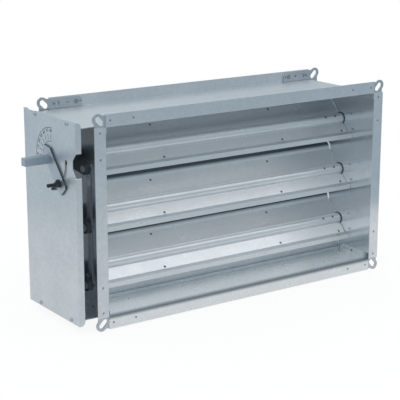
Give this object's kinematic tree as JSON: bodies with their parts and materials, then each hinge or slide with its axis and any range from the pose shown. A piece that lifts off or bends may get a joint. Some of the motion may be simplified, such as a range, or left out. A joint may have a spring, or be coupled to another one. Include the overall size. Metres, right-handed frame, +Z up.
{
  "type": "regulating damper",
  "caption": "Rectangular duct damper: flanged galvanised casing, parallel-acting blades on a crank linkage, and a hand lever with wing-nut clamp and dial on a side panel.",
  "frame": {"origin": "centre of the front duct opening, in the outer face of the front flange", "axes": "+X across the opening to the right as seen from the front, +Y through the duct towards the rear flange, +Z up; the lever is on the -X side"},
  "size_m": [0.6577, 0.18, 0.3436],
  "materials": {
    "galvanised_sheet": "hot-dip galvanised sheet, satin, faint spangle",
    "blade_sheet": "galvanised sheet, satin, rolled along the blade",
    "pressed_bracket": "pressed galvanised steel",
    "zinc_plated_steel": "bright zinc plate",
    "rivet_steel": "plain zinc, dull",
    "black_plastic": "moulded, fine grain"
  },
  "bodies": {
    "casing": {"duct_top_wall": "galvanised_sheet", "duct_bottom_wall": "galvanised_sheet", "duct_left_wall": "galvanised_sheet", "duct_right_wall": "galvanised_sheet", "front_corner_top_left": "pressed_bracket", "front_corner_top_right": "pressed_bracket", "front_corner_bottom_left": "pressed_bracket", "front_corner_bottom_right": "pressed_bracket", "rear_corner_top_left": "pressed_bracket", "rear_corner_top_right": "pressed_bracket", "rear_corner_bottom_left": "pressed_bracket", "rear_corner_bottom_right": "pressed_bracket", "top_stop_strip": "galvanised_sheet", "bottom_stop_strip": "galvanised_sheet", "corner_rivets": "rivet_steel", "casing_rivets": "rivet_steel", "panel_shelf_top": "galvanised_sheet", "panel_shelf_bottom": "galvanised_sheet", "panel_screws": "rivet_steel", "side_panel": "galvanised_sheet"},
    "blade_1": {"blade_1_front_skin": "blade_sheet", "blade_1_back_skin": "blade_sheet", "blade_1_rivets": "rivet_steel", "drive_shaft": "zinc_plated_steel", "blade_1_right_shaft": "zinc_plated_steel", "blade_1_left_bush": "black_plastic", "blade_1_right_bush": "black_plastic", "blade_1_end_clip": "zinc_plated_steel", "crank_1": "black_plastic", "crank_pin_1": "zinc_plated_steel", "lever": "zinc_plated_steel", "lever_clip": "zinc_plated_steel", "clamp_washer": "zinc_plated_steel", "clamp_bolt": "zinc_plated_steel"},
    "blade_2": {"blade_2_front_skin": "blade_sheet", "blade_2_back_skin": "blade_sheet", "blade_2_rivets": "rivet_steel", "blade_2_left_shaft": "zinc_plated_steel", "blade_2_right_shaft": "zinc_plated_steel", "blade_2_left_bush": "black_plastic", "blade_2_right_bush": "black_plastic", "blade_2_end_clip": "zinc_plated_steel", "crank_2": "black_plastic", "crank_pin_2": "zinc_plated_steel"},
    "blade_3": {"blade_3_front_skin": "blade_sheet", "blade_3_back_skin": "blade_sheet", "blade_3_rivets": "rivet_steel", "blade_3_left_shaft": "zinc_plated_steel", "blade_3_right_shaft": "zinc_plated_steel", "blade_3_left_bush": "black_plastic", "blade_3_right_bush": "black_plastic", "blade_3_end_clip": "zinc_plated_steel", "crank_3": "black_plastic", "crank_pin_3": "zinc_plated_steel"},
    "link": {"link_bar": "zinc_plated_steel"},
    "wing_nut": {"wing_nut": "zinc_plated_steel"}
  },
  "joints": [
    {"name": "blade_1_turn", "type": "hinge", "parent": "casing", "child": "blade_1", "pos_m": [0, 0.086, 0.093], "axis": [1, 0, 0], "range_deg": [-48, 40]},
    {"name": "blade_2_turn", "type": "hinge", "parent": "casing", "child": "blade_2", "pos_m": [0, 0.086, 0], "axis": [1, 0, 0], "range_deg": [-48, 40]},
    {"name": "blade_3_turn", "type": "hinge", "parent": "casing", "child": "blade_3", "pos_m": [0, 0.086, -0.093], "axis": [1, 0, 0], "range_deg": [-48, 40]},
    {"name": "link_swing", "type": "hinge", "parent": "blade_1", "child": "link", "pos_m": [-0.2824, 0.03184, 0.08345], "axis": [1, 0, 0], "range_deg": [-40, 48]},
    {"name": "wing_nut_turn", "type": "hinge", "parent": "blade_1", "child": "wing_nut", "pos_m": [-0.325, 0.05522, 0.05881], "axis": [-1, 0, 0], "continuous": true}
  ],
  "couplings": [
    {"joint": "blade_2_turn", "follows": "blade_1_turn", "ratio": 1},
    {"joint": "blade_3_turn", "follows": "blade_1_turn", "ratio": 1},
    {"joint": "link_swing", "follows": "blade_1_turn", "ratio": -1}
  ]
}
